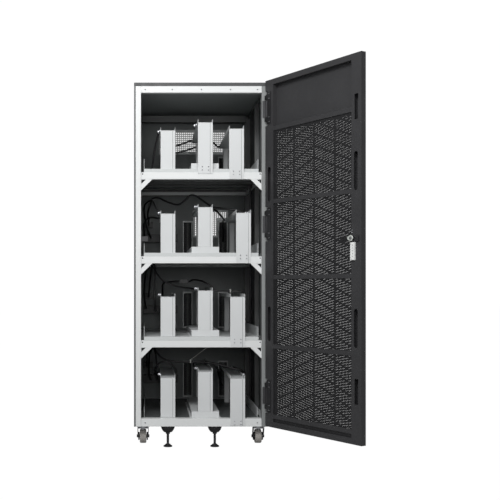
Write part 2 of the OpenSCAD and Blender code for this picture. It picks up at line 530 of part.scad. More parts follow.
module caster_fork_3() caster_fork(3);
module caster_fork_4() caster_fork(4);
module caster_wheel(i) color([0.45, 0.43, 0.41]) translate(caster_at[i - 1] + [0, trail, axle_z]) rotate([0, 90, 0])
  rotate_extrude($fn = 64) {
    w = wheel_w/2; r = wheel_d/2;
    polygon([[4.05, -21.5], [8, -21.5], [8, -w], [10, -w], [11, -w + 2], [19, -w + 5], [21, -w + 2], [r - 4, -w], [r - 1.2, -w + 1.4], [r, -w + 5], [r, w - 5],
      [r - 1.2, w - 1.4], [r - 4, w], [21, w - 2], [19, w - 5], [11, w - 2], [10, w], [8, w], [8, 21.5], [4.05, 21.5]]);
  }
module caster_wheel_1() caster_wheel(1);
module caster_wheel_2() caster_wheel(2);
module caster_wheel_3() caster_wheel(3);
module caster_wheel_4() caster_wheel(4);

// ---------- levelling feet ----------
foot_at = [for (y = [yf + foot_y, yr - foot_y], x = foot_x) [x, y, 0]];
module levelling_foot(i) color([0.13, 0.13, 0.14]) translate(foot_at[i - 1]) {
  translate([0, 0, -foot_drop + 5]) cylinder(r = stem_d/2, h = foot_drop + 10);
  translate([0, 0, -foot_drop]) cylinder(r = pad_d/2, h = 5);
  translate([0, 0, -foot_drop + 5]) cylinder(r1 = pad_d/2 - 1, r2 = 9, h = 8);
}
module levelling_foot_1() levelling_foot(1);
module levelling_foot_2() levelling_foot(2);
module levelling_foot_3() levelling_foot(3);
module levelling_foot_4() levelling_foot(4);
// a domed plastic housing under the beam, and the locknut below it
module foot_housings() color([0.10, 0.10, 0.10]) for (p = foot_at) translate(p) {
  difference() {
    union() {
      translate([0, 0, -12]) cylinder(r = 31, h = 12);
      translate([0, 0, -33]) cylinder(r1 = 17, r2 = 31, h = 21);
    }
    translate([0, 0, -40]) cylinder(r = stem_d/2 + 0.05, h = 45);
  }
  difference() {
    translate([0, 0, -41]) cylinder(r = 10, h = 7.8, $fn = 6);
    translate([0, 0, -45]) cylinder(r = stem_d/2 + 0.05, h = 15);
  }
}

upright_front_left();
upright_front_right();
uprights_rear();
uprights_middle();
top_frame();
base_frame();
base_tray();
foot_beams();
roof_panel();
side_panel_left();
side_panel_right();
rear_panel();
vent_meshes();
cable_entry_frames();
cable_entry_brushes();
shelf_rails();
shelf_ribs();
shelf_trays();
tray_guides();
gussets();
hold_down_front_legs();
hold_down_rear_legs();
hold_down_bars();
pedestals();
wiring_ducts();
frame_screws();
cable_lugs();
cables_1();
cables_2();
cables_3();
cables_4();
cable_plugs();
hinge_frame_leaves();
hinge_door_leaves();
hinge_pins();
door_shell();
door_crossbars();
door_perforated_panel();
latch_case();
latch_escutcheon();
lock_plug();
latch_spindle();
latch_cam();
latch_handle();
latch_keeper();
caster_plates();
caster_fork_1();
caster_fork_2();
caster_fork_3();
caster_fork_4();
caster_wheel_1();
caster_wheel_2();
caster_wheel_3();
caster_wheel_4();
levelling_foot_1();
levelling_foot_2();
levelling_foot_3();
levelling_foot_4();
foot_housings();
cable_ties();
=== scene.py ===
import json
import math
import random

import bmesh
import bpy
import numpy as np
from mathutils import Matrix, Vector


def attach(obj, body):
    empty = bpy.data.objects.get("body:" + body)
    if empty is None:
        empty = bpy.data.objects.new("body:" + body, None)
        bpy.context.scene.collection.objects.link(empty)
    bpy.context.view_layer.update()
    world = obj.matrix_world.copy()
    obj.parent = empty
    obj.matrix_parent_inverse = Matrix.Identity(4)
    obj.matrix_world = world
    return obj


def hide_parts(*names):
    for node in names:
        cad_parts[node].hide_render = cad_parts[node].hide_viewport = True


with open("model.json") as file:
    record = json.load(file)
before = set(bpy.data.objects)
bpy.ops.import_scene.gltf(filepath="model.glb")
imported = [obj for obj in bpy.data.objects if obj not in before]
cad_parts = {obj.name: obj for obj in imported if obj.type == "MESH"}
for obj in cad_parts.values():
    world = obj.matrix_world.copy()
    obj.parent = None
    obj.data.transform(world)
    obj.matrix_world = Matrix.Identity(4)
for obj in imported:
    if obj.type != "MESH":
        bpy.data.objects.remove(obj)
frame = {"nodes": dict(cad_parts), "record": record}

random.seed(7)
rng = np.random.default_rng(7)
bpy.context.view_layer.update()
NODES = frame["nodes"]
YF = -375.0
TIER = [35.0, 400.0, 775.0, 1150.0]
LEFT_X, MID_X, RIGHT_X = -148.0, [20.0, 20.0, 20.0, 18.0], [162.0, 162.0, 188.0, 157.0]
HOLD_H, PED_H, HOLD_W, EAR = 178.0, 28.0, 66.0, 14.0

# ------------------------------------------------------------------ camera
cam_data = bpy.data.cameras.new("camera")
cam = bpy.data.objects.new("camera", cam_data)
bpy.context.scene.collection.objects.link(cam)
cam.location = (-0.2288, -4.2785, 0.6178)
cam.rotation_euler = (math.radians(90), 0, 0)
cam_data.lens = 63.1
cam_data.sensor_width = 36
cam_data.shift_x = 0.20
cam_data.shift_y = 0.076
cam_data.clip_end = 200
bpy.context.scene.camera = cam

# ------------------------------------------------------------------ places
def root_at(p):
    """millimetres, x / depth behind the frame's front face / z, to metres"""
    p = np.asarray(p, float).reshape(-1, 3)
    return np.c_[p[:, 0], YF + p[:, 1], p[:, 2]] / 1000

def plain(p):
    return np.asarray(p, float).reshape(-1, 3) / 1000

CA, SA = math.cos(math.radians(121.5)), math.sin(math.radians(121.5))
def door_at(p):
    """u from the hinge edge, v outwards from the inner face, z, on the opened door"""
    p = np.asarray(p, float).reshape(-1, 3)
    rx, ry = (292.5 - p[:, 0]) - 290, (-381 - p[:, 1]) + 387
    return np.c_[290 + CA * rx - SA * ry, -387 + SA * rx + CA * ry, p[:, 2]] / 1000

# ------------------------------------------------------------------ mesh building
class Build:
    def __init__(self, at=plain):
        self.v, self.f, self.s, self.m, self.n, self.at = [], [], [], [], 0, at

    def add(self, verts, faces, smooth=False, mat=0):
        verts = np.asarray(verts, float).reshape(-1, 3)
        self.v.append(verts)
        self.f += [[i + self.n for i in f] for f in faces]
        self.s += [smooth] * len(faces)
        self.m += [mat] * len(faces)
        self.n += len(verts)

    def box(self, x0, x1, y0, y1, z0, z1, mat=0, turn=None):
        v = np.array([[x, y, z] for z in (z0, z1) for y in (y0, y1) for x in (x0, x1)], float)
        if turn is not None:
            v = turn(v)
        self.add(v, [[0, 2, 3, 1], [4, 5, 7, 6], [0, 1, 5, 4], [2, 6, 7, 3], [0, 4, 6, 2], [1, 3, 7, 5]], False, mat)

    def lathe(self, prof, o, axis, seg=32, smooth=True, mats=None):
        """prof: (radius, height) pairs along the axis from o; ends at radius 0 are closed to a point"""
        w = np.array(axis, float); w /= np.linalg.norm(w)
        a = np.array([0, 0, 1.0]) if abs(w[2]) < 0.9 else np.array([1.0, 0, 0])
        e1 = np.cross(w, a); e1 /= np.linalg.norm(e1)
        e2 = np.cross(w, e1)
        o = np.array(o, float)
        rings, verts, faces, mi = [], [], [], []
        for r, h in prof:
            if r < 1e-6:
                rings.append([len(verts)]); verts.append(o + w * h)
            else:
                rings.append(list(range(len(verts), len(verts) + seg)))
                for k in range(seg):
                    t = 2 * math.pi * k / seg
                    verts.append(o + w * h + r * (math.cos(t) * e1 + math.sin(t) * e2))
        for i in range(len(rings) - 1):
            A, B = rings[i], rings[i + 1]
            m = mats[i] if mats else 0
            for k in range(seg):
                k2 = (k + 1) % seg
                if len(A) == 1 and len(B) == 1:
                    continue
                if len(A) == 1:
                    faces.append([A[0], B[k2], B[k]])
                elif len(B) == 1:
                    faces.append([A[k], A[k2], B[0]])
                else:
                    faces.append([A[k], A[k2], B[k2], B[k]])
                mi.append(m)
        for R, m in ((rings[0], 0), (rings[-1], -1)):
            if len(R) > 1:
                faces.append(list(R)); mi.append(mats[m] if mats else 0)
        n0 = self.n
        self.v.append(np.array(verts))
        self.f += [[i + n0 for i in f] for f in faces]
        self.s += [smooth] * len(faces)
        self.m += mi
        self.n += len(verts)

    def ring(self, prof, o, axis, seg=32, smooth=True, mats=None):
        """a closed profile turned round the axis"""
        w = np.array(axis, float); w /= np.linalg.norm(w)
        a = np.array([0, 0, 1.0]) if abs(w[2]) < 0.9 else np.array([1.0, 0, 0])
        e1 = np.cross(w, a); e1 /= np.linalg.norm(e1)
        e2 = np.cross(w, e1)
        o = np.array(o, float)
        c = len(prof)
        verts = [o + w * h + r * (math.cos(2 * math.pi * k / seg) * e1 + math.sin(2 * math.pi * k / seg) * e2)
                 for r, h in prof for k in range(seg)]
        for i in range(c):
            j = (i + 1) % c
            f = [[i * seg + k, i * seg + (k + 1) % seg, j * seg + (k + 1) % seg, j * seg + k] for k in range(seg)]
            self.f += [[q + self.n for q in g] for g in f]
            self.s += [smooth] * seg
            self.m += [mats[i] if mats else 0] * seg
        self.v.append(np.array(verts))
        self.n += len(verts)

    def prism(self, poly, o, e1, e2, e3, depth, mat=0, smooth=False):
        o, e1, e2, e3 = (np.array(q, float) for q in (o, e1, e2, e3))
        n = len(poly)
        v = [o + a * e1 + b * e2 for a, b in poly] + [o + a * e1 + b * e2 + depth * e3 for a, b in poly]
        f = [list(range(n))[::-1], list(range(n, 2 * n))] + [[i, (i + 1) % n, n + (i + 1) % n, n + i] for i in range(n)]
        self.add(v, f, smooth, mat)

    def sweep(self, pts, r, sides=14, mat=0, cap=True):
        pts = np.asarray(pts, float)
        c = len(pts)
        r = np.full(c, float(r)) if np.isscalar(r) else np.asarray(r, float)
        t = np.empty_like(pts)
        t[1:-1] = pts[2:] - pts[:-2]
        t[0], t[-1] = pts[1] - pts[0], pts[-1] - pts[-2]
        t /= np.linalg.norm(t, axis=1)[:, None]
        u = np.array([0.31, 0.77, 0.55])
        verts = []
        for i in range(c):
            u = u - u.dot(t[i]) * t[i]; u /= np.linalg.norm(u)
            b = np.cross(t[i], u)
            for k in range(sides):
                a = 2 * math.pi * k / sides
                verts.append(pts[i] + r[i] * (math.cos(a) * u + math.sin(a) * b))
        faces = [[i * sides + k, i * sides + (k + 1) % sides, (i + 1) * sides + (k + 1) % sides, (i + 1) * sides + k]
                 for i in range(c - 1) for k in range(sides)]
        if cap:
            faces += [list(range(sides))[::-1], list(range((c - 1) * sides, c * sides))]
        self.add(verts, faces, True, mat)

    def make(self, name, mats, body="root", replaces=(), bevel=0.0, angle=35, recalc=True, seg=2):
        v = self.at(np.concatenate(self.v))
        me = bpy.data.meshes.new(name)
        me.from_pydata(v.tolist(), [], self.f)
        me.polygons.foreach_set("use_smooth", np.array(self.s, bool))
        for m in mats if isinstance(mats, (list, tuple)) else [mats]:
            me.materials.append(m)
        me.polygons.foreach_set("material_index", np.array(self.m, np.int32))
        me.update()
        if recalc:
            bm = bmesh.new(); bm.from_mesh(me)
            bmesh.ops.recalc_face_normals(bm, faces=bm.faces)
            bm.to_mesh(me); bm.free()
        me.validate()
        ob = bpy.data.objects.new(name, me)
        bpy.context.scene.collection.objects.link(ob)
        finish_mesh(ob, bevel, angle, seg)
        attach(ob, body)
        if replaces:
            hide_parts(*replaces)
        return ob

# smooth shading by edge angle, as a small geometry node group
def smooth_tree(angle):
    name = "shade_by_angle_%d" % angle
    g = bpy.data.node_groups.get(name)
    if g:
        return g
    g = bpy.data.node_groups.new(name, "GeometryNodeTree")
    g.interface.new_socket("Geometry", in_out="INPUT", socket_type="NodeSocketGeometry")
    g.interface.new_socket("Geometry", in_out="OUTPUT", socket_type="NodeSocketGeometry")
    a, b = g.nodes.new("NodeGroupInput"), g.nodes.new("NodeGroupOutput")
    e = g.nodes.new("GeometryNodeInputMeshEdgeAngle")
    c = g.nodes.new("FunctionNodeCompare")
    c.data_type, c.operation = "FLOAT", "LESS_THAN"
    c.inputs[1].default_value = math.radians(angle)
    f = g.nodes.new("GeometryNodeSetShadeSmooth"); f.domain = "FACE"
    s = g.nodes.new("GeometryNodeSetShadeSmooth"); s.domain = "EDGE"
    L = g.links.new
    L(e.outputs["Unsigned Angle"], c.inputs[0])
    L(a.outputs[0], f.inputs["Geometry"])
    L(f.outputs[0], s.inputs["Geometry"])
    L(c.outputs[0], s.inputs["Shade Smooth"])
    L(s.outputs[0], b.inputs[0])
    return g

def finish_mesh(ob, bevel, angle=35, seg=2):
    m = ob.modifiers.new("shade", "NODES")
    m.node_group = smooth_tree(angle)
    if bevel > 0:
        b = ob.modifiers.new("edges", "BEVEL")
        b.limit_method, b.angle_limit = "ANGLE", math.radians(angle)
        b.width, b.segments, b.use_clamp_overlap, b.harden_normals = bevel / 1000, seg, True, True

def catmull(P, n):
    P = np.array(P, float)
    out = []
    for i in range(len(P) - 1):
        a, b, c, d = P[max(i - 1, 0)], P[i], P[i + 1], P[min(i + 2, len(P) - 1)]
        for k in range(n):
            t = k / n
            out.append(0.5 * (2 * b + (c - a) * t + (2 * a - 5 * b + 4 * c - d) * t * t + (3 * b - a - 3 * c + d) * t ** 3))
    out.append(P[-1])
    return np.array(out)

# ------------------------------------------------------------------ materials
def node(nt, kind, **kw):
    n = nt.nodes.new(kind)
    for k, v in kw.items():
        setattr(n, k, v)
    return n

def ramp(nt, fac, stops):
    r = node(nt, "ShaderNodeValToRGB")
    e = r.color_ramp.elements
    while len(e) < len(stops):
        e.new(0.5)
    for q, (p, c) in zip(e, stops):
        q.position = p
        q.color = (*c, 1) if len(c) == 3 else c
    nt.links.new(fac, r.inputs[0])
    return r.outputs[0]

def noise(nt, coord, scale, detail=3, rough=0.5, dist=0.0, stretch=None):
    if stretch:
        mp = node(nt, "ShaderNodeMapping")
        mp.inputs["Scale"].default_value = stretch
        nt.links.new(coord, mp.inputs[0])
        coord = mp.outputs[0]
    t = node(nt, "ShaderNodeTexNoise")
    t.inputs["Scale"].default_value = scale
    t.inputs["Detail"].default_value = detail
    t.inputs["Roughness"].default_value = rough
    t.inputs["Distortion"].default_value = dist
    nt.links.new(coord, t.inputs["Vector"])
    return t.outputs[0]

def scaled(nt, fac, lo, hi, f0=0.3, f1=0.7):
    m = node(nt, "ShaderNodeMapRange")
    m.inputs["From Min"].default_value, m.inputs["From Max"].default_value = f0, f1
    m.inputs["To Min"].default_value, m.inputs["To Max"].default_value = lo, hi
    nt.links.new(fac, m.inputs["Value"])
    return m.outputs[0]

def start(name):
    m = bpy.data.materials.new(name)
    m.use_nodes = True
    nt = m.node_tree
    p = nt.nodes["Principled BSDF"]
    c = node(nt, "ShaderNodeTexCoord").outputs["Object"]
    return m, nt, p, c

def bump(nt, p, heights, strength=0.25):
    """heights: (output, distance in metres) pairs, stacked"""
    last = None
    for h, d in heights:
        b = node(nt, "ShaderNodeBump")
        b.inputs["Strength"].default_value = strength
        b.inputs["Distance"].default_value = d
        nt.links.new(h, b.inputs["Height"])
        if last is not None:
            nt.links.new(last, b.inputs["Normal"])
        last = b.outputs[0]
    nt.links.new(last, p.inputs["Normal"])

def mixc(nt, fac, a, b):
    m = node(nt, "ShaderNodeMix", data_type="RGBA")
    nt.links.new(fac, m.inputs[0])
    for s, v in ((m.inputs[6], a), (m.inputs[7], b)):
        if isinstance(v, tuple):
            s.default_value = (*v, 1)
        else:
            nt.links.new(v, s)
    return m.outputs[2]

def powder(name, c, rough=0.42, grain=0.00012, spec=0.5, vary=0.05, dust=0.0, coat=0.0):
    """powder coat: a slow colour drift, fine speckle, orange peel and grain"""
    m, nt, p, co = start(name)
    slow = noise(nt, co, 3.5, 4, 0.55)
    fine = noise(nt, co, 900, 2, 0.6)
    peel = noise(nt, co, 260, 2, 0.5)
    grit = noise(nt, co, 1700, 2, 0.7)
    a = tuple(x * (1 - vary) for x in c); b = tuple(min(1, x * (1 + vary)) for x in c)
    base = ramp(nt, slow, [(0.35, a), (0.65, b)])
    speck = ramp(nt, fine, [(0.30, tuple(x * (1 - 1.6 * vary) for x in c)), (0.55, c), (0.75, tuple(min(1, x * (1 + 1.8 * vary)) for x in c))])
    half = node(nt, "ShaderNodeMix", data_type="RGBA")
    half.inputs[0].default_value = 0.5
    nt.links.new(base, half.inputs[6]); nt.links.new(speck, half.inputs[7])
    out = half.outputs[2]
    if dust > 0:
        d = noise(nt, co, 14, 5, 0.7)
        f = scaled(nt, d, 0.0, dust, 0.45, 0.85)
        out = mixc(nt, f, out, tuple(min(1, 0.5 * x + 0.12) for x in c))
    nt.links.new(out, p.inputs["Base Color"])
    r1 = noise(nt, co, 45, 4, 0.6)
    nt.links.new(scaled(nt, r1, rough - 0.05, rough + 0.07), p.inputs["Roughness"])
    p.inputs["Specular IOR Level"].default_value = spec
    p.inputs["Coat Weight"].default_value = coat
    p.inputs["Coat Roughness"].default_value = 0.25
    bump(nt, p, [(peel, grain * 1.6), (grit, grain)], 0.35)
    return m

def zinc(name, c=(0.66, 0.67, 0.69), rough=0.3, streak=(1, 1, 1), spangle=0.06, metal=1.0):
    """plated or galvanised steel: faint spangle, hairline streaks, smudges"""
    m, nt, p, co = start(name)
    vor = node(nt, "ShaderNodeTexVoronoi")
    vor.inputs["Scale"].default_value = 140
    nt.links.new(co, vor.inputs["Vector"])
    slow = noise(nt, co, 22, 4, 0.6)
    hair = noise(nt, co, 420, 3, 0.6, 0.0, streak)
    a = tuple(x * (1 - spangle) for x in c); b = tuple(min(1, x * (1 + spangle)) for x in c)
    cell = ramp(nt, vor.outputs["Distance"], [(0.0, b), (0.7, a)])
    smudge = scaled(nt, slow, 0.0, 0.35, 0.45, 0.75)
    nt.links.new(mixc(nt, smudge, cell, tuple(x * 0.82 for x in c)), p.inputs["Base Color"])
    nt.links.new(scaled(nt, hair, rough - 0.08, rough + 0.14), p.inputs["Roughness"])
    p.inputs["Metallic"].default_value = metal
    bump(nt, p, [(hair, 0.00004)], 0.4)
    return m

def plastic(name, c, rough=0.45, grain=0.00010, spec=0.45, scale=700, vary=0.08):
    m, nt, p, co = start(name)
    slow = noise(nt, co, 18, 4, 0.6)
    g = noise(nt, co, scale, 3, 0.65)
    nt.links.new(ramp(nt, slow, [(0.35, tuple(x * (1 - vary) for x in c)), (0.65, tuple(min(1, x * (1 + vary)) for x in c))]), p.inputs["Base Color"])
    nt.links.new(scaled(nt, g, rough - 0.06, rough + 0.08), p.inputs["Roughness"])
    p.inputs["Specular IOR Level"].default_value = spec
    bump(nt, p, [(g, grain)], 0.4)
    return m

def rubber(name, c):
    m, nt, p, co = start(name)
    slow = noise(nt, co, 60, 5, 0.65)
    g = noise(nt, co, 1200, 3, 0.7)
    scuff = noise(nt, co, 160, 4, 0.7, 0.6)
    base = ramp(nt, slow, [(0.3, tuple(x * 0.86 for x in c)), (0.7, tuple(min(1, x * 1.1) for x in c))])
    f = scaled(nt, scuff, 0.0, 0.4, 0.55, 0.8)
    nt.links.new(mixc(nt, f, base, tuple(x * 0.6 for x in c)), p.inputs["Base Color"])
    nt.links.new(scaled(nt, scuff, 0.5, 0.72), p.inputs["Roughness"])
    p.inputs["Specular IOR Level"].default_value = 0.4
    bump(nt, p, [(scuff, 0.0002), (g, 0.00008)], 0.5)
    return m

MAT = {
    "frame_paint": powder("frame_paint", (0.66, 0.675, 0.675), 0.36, 0.00006, 0.5, 0.02, 0.05),
    "bracket_paint": powder("bracket_paint", (0.57, 0.585, 0.59), 0.40, 0.00006, 0.5, 0.025, 0.06),
    "shelf_paint": powder("shelf_paint", (0.52, 0.54, 0.54), 0.42, 0.00006, 0.5, 0.03, 0.08),
    "panel_paint": powder("panel_paint", (0.036, 0.038, 0.040), 0.48, 0.00014, 0.5, 0.10, 0.04),
    "door_paint": powder("door_paint", (0.031, 0.031, 0.033), 0.50, 0.00014, 0.42, 0.12, 0.03),
    "grille_metal": zinc("grille_metal", (0.26, 0.27, 0.27), 0.45),
    "brush_bristle": plastic("brush_bristle", (0.016, 0.016, 0.017), 0.6, 0.00012, 0.3, 1500),
    "black_plastic": plastic("black_plastic", (0.020, 0.020, 0.022), 0.42, 0.00010, 0.45),
    "cable_jacket": plastic("cable_jacket", (0.014, 0.014, 0.015), 0.34, 0.00006, 0.5, 500),
    "tie_plastic": plastic("tie_plastic", (0.72, 0.73, 0.68), 0.35, 0.00004, 0.5),
    "latch_plastic": plastic("latch_plastic", (0.74, 0.75, 0.74), 0.32, 0.00004, 0.5),
    "zinc_steel": zinc("zinc_steel", (0.46, 0.47, 0.49), 0.34),
    "wheel_rubber": rubber("wheel_rubber", (0.33, 0.315, 0.295)),
    "black_steel": zinc("black_steel", (0.045, 0.045, 0.048), 0.42, (1, 1, 1), 0.06, 0.7),
}
# dark steel for the dark screws, and for the cross recesses of the screw heads, where it is painted shade
DARK_STEEL_AND_RECESS_SHADE = zinc("dark_bolt_and_recess_painted_shade", (0.10, 0.10, 0.11), 0.4)
HUB = plastic("wheel_hub", (0.30, 0.295, 0.285), 0.4, 0.00006, 0.45)
# the rear wall: a lighter copy of the dark panel paint, standing in for light inside the cabinet: painted light
REAR = powder("rear_wall_painted_light", (0.104, 0.116, 0.116), 0.45, 0.00012, 0.45, 0.08, 0.05)
# the side walls: a lighter copy of the dark panel paint, standing in for light inside the cabinet: painted light
WALL = powder("side_wall_painted_light", (0.098, 0.104, 0.106), 0.46, 0.00012, 0.45, 0.08, 0.05)
# dark paint of the rear and middle uprights and the top frame's rear and side members, lightened like the walls to
# stand in for light inside the cabinet: painted light; on the shelf ribs it stands in for the shade under the trays,
# and on the hold-downs' pressed line for the shadow in the crease: painted shade
GREY = powder("rear_frame_painted_light_and_shade", (0.115, 0.120, 0.120), 0.42, 0.00008, 0.5, 0.05, 0.05)
# the roof's underside, about ten times lighter than the panel paint on its top, standing in for light falling on it:
# painted light
CEIL = powder("roof_underside_painted_light", (0.38, 0.41, 0.41), 0.45, 0.00012, 0.45, 0.06, 0.04)
CAM = zinc("cam_plate", (0.74, 0.78, 0.73), 0.36, (1, 1, 1), 0.05, 0.6)
# a darker copy of the frame paint for the right front upright, standing in for the shade it lies in: painted shade
SHADE = powder("right_upright_painted_shade", (0.20, 0.21, 0.21), 0.40, 0.00006, 0.5, 0.03, 0.05)
SHEET = powder("door_sheet_paint", (0.011, 0.011, 0.012), 0.52, 0.00010, 0.35, 0.10, 0.02)

# ------------------------------------------------------------------ CAD nodes: finish and rounded edges
SLOT = {s["node"]: s["material_slot"] for s in frame["record"]["subparts"]}
BEVEL = {"roof_panel": 1.2, "side_panel_left": 0.6, "side_panel_right": 0.6, "uprights_rear": 0.9, "upright_front_left": 0.95,
         "upright_front_right": 0.95, "top_frame": 0.7, "base_frame": 0.9, "shelf_rails": 0.9, "shelf_ribs": 0.8, "shelf_trays": 0.9,
         "hold_down_bars": 0.9, "hold_down_front_legs": 0.9, "hold_down_rear_legs": 0.9, "pedestals": 0.9, "door_shell": 0.7,
         "door_crossbars": 0.8, "latch_case": 2.2, "latch_handle": 2.2, "latch_cam": 0.8, "latch_escutcheon": 1.2,
         "latch_keeper": 0.8, "hinge_frame_leaves": 0.8, "hinge_door_leaves": 0.8, "gussets": 0.8, "caster_plates": 0.6,
         "vent_meshes": 0.0, "base_tray": 0.8, "tray_guides": 0.8, "cable_entry_frames": 1.0}
for name, ob in NODES.items():
    mat = MAT[SLOT[name]]
    # the rear wall takes its lighter copy of the panel paint: painted light
    if name == "rear_panel":
        mat = REAR
    # the side walls take their lighter copy of the panel paint: painted light
    elif name in ("side_panel_left", "side_panel_right"):
        mat = WALL
    # the uprights take it as painted light; the shelf ribs take it as painted shade under the trays
    elif name in ("uprights_rear", "uprights_middle", "shelf_ribs"):
        mat = GREY
    # the right front upright takes the darker copy of the frame paint: painted shade
    elif name == "upright_front_right":
        mat = SHADE
    elif name in ("hinge_pins", "hinge_frame_leaves", "hinge_door_leaves"):
        mat = MAT["black_steel"]
    elif name == "latch_cam":
        mat = CAM
    # the base tray takes the same colour as the side walls
    elif name == "base_tray":
        mat = WALL
    ob.data.materials.clear()
    ob.data.materials.append(mat)
    # the roof panel's downward faces take that lighter colour: painted light
    if name == "roof_panel":
        ob.data.materials.append(CEIL)
        for pg in ob.data.polygons:
            pg.material_index = int(pg.normal.z < -0.5)
    if name == "top_frame" or name.startswith("caster_fork"):
        # the rear and side members of the top frame are dark; the forks' legs are black
        ob.data.materials.append(GREY if name == "top_frame" else MAT["black_steel"])
        co = np.empty(len(ob.data.vertices) * 3); ob.data.vertices.foreach_get("co", co); co = co.reshape(-1, 3)
        for pg in ob.data.polygons:
            c = co[list(pg.vertices)].mean(0)
            pg.material_index = int(c[1] > -0.335) if name == "top_frame" else int(c[2] < -0.0145)
    w = ob.modifiers.new("weld", "WELD"); w.merge_threshold = 1e-5
    if name == "vent_meshes":
        d = ob.modifiers.new("wire", "DISPLACE"); d.strength, d.mid_level = 0.0013, 0.0
    else:
        d = ob.modifiers.new("flat", "DECIMATE"); d.decimate_type = "DISSOLVE"; d.angle_limit = math.radians(0.5)
    finish_mesh(ob, BEVEL.get(name, 0.5), 35)

# ------------------------------------------------------------------ door sheet with slots in chevron bands
def door_sheet():
    V0, V1 = 4.2, 5.0
    cols = [(56, 182, 7), (191, 306.5, 7), (315.5, 429.5, 7), (438.5, 527, 5)]
    line = lambda u: -0.4 * abs(u - 311)
    rows, pitch, band = 8, 5.15, 49.0
    verts, faces, index = [], [], {}
    def vid(u, z, side):
        k = (round(u, 3), round(z, 3), side)
        if k not in index:
            index[k] = len(verts)
            verts.append((u, V0 if side == 0 else V1, z))
        return index[k]
    def flat(poly):
        faces.append([vid(u, z, 0) for u, z in poly])
        faces.append([vid(u, z, 1) for u, z in poly[::-1]])
    def rim(poly):
        for (a, b), (c, d) in zip(poly, poly[1:] + poly[:1]):
            faces.append([vid(a, b, 0), vid(a, b, 1), vid(c, d, 1), vid(c, d, 0)])
    def cell(u0, u1, s0, s1, shift):
        um = (u0 + u1) / 2 + shift
        L, R = (u0, (s0 + s1) / 2 + line(u0)), (u1, (s0 + s1) / 2 + line(u1))
        zc = (s0 + s1) / 2
        hw, hh = 4.6, 0.255
        top, bot = [], []
        for a in (180, 90, 90.001, 0):
            c, s = math.cos(math.radians(a)), math.sin(math.radians(a))
            ux = um + (hw - hh) * (-1 if a >= 90.0005 or a == 90 else 1) + hh * c
            if a == 90:
                ux = um - (hw - hh)
            if a == 90.001:
                ux = um + (hw - hh)
            dz = hh * abs(s)
            top.append((ux, zc + line(um) + dz)); bot.append((ux, zc + line(um) - dz))
        flat([L, (u0, s1 + line(u0)), (u1, s1 + line(u1)), R] + top[::-1])
        flat([R, (u1, s0 + line(u1)), (u0, s0 + line(u0)), L] + bot)
        rim(top + bot[-2:0:-1])
    z0, z1 = 29.0, 1326.0
    for a, b, n in cols:
        us = [a + (b - a) * i / n for i in range(n + 1)]
        for u0, u1 in zip(us, us[1:]):
            lo, hi = max(line(u0), line(u1)), min(line(u0), line(u1))
            done = []
            for j in range(-1, 34):
                for r in range(rows):
                    s0 = 36 + band * j + r * pitch
                    if s0 + hi > 40 and s0 + pitch + lo < 1304:
                        done.append((s0, s0 + pitch))
            first, last = done[0][0], done[-1][1]
            flat([(u0, z0), (u1, z0), (u1, first + line(u1)), (u0, first + line(u0))])
            prev = None
            for s0, s1 in done:
                if prev is not None and s0 - prev > 0.01:
                    flat([(u0, prev + line(u0)), (u1, prev + line(u1)), (u1, s0 + line(u1)), (u0, s0 + line(u0))])
                cell(u0, u1, s0, s1, 3.2 if int(round((s0 - 36) % band / pitch)) % 2 else -3.2)
                prev = s1
            flat([(u0, last + line(u0)), (u1, last + line(u1)), (u1, z1), (u0, z1)])
    for a, b in ((52.0, 56), (182, 191), (306.5, 315.5), (429.5, 438.5), (527, 531.0)):
        flat([(a, z0), (b, z0), (b, z1), (a, z1)])
    m = Build(door_at)
    m.add(verts, faces)
    for p in ([52.0, 52.0], [531.0, 531.0]):
        u = p[0]
        m.add([(u, V0, z0), (u, V1, z0), (u, V1, z1), (u, V0, z1)], [[0, 1, 2, 3]])
    for z in (z0, z1):
        m.add([(52, V0, z), (531, V0, z), (531, V1, z), (52, V1, z)], [[0, 1, 2, 3]])
    return m.make("perforated_door_sheet", SHEET, "door", ["door_perforated_panel"], recalc=False)
door_sheet()

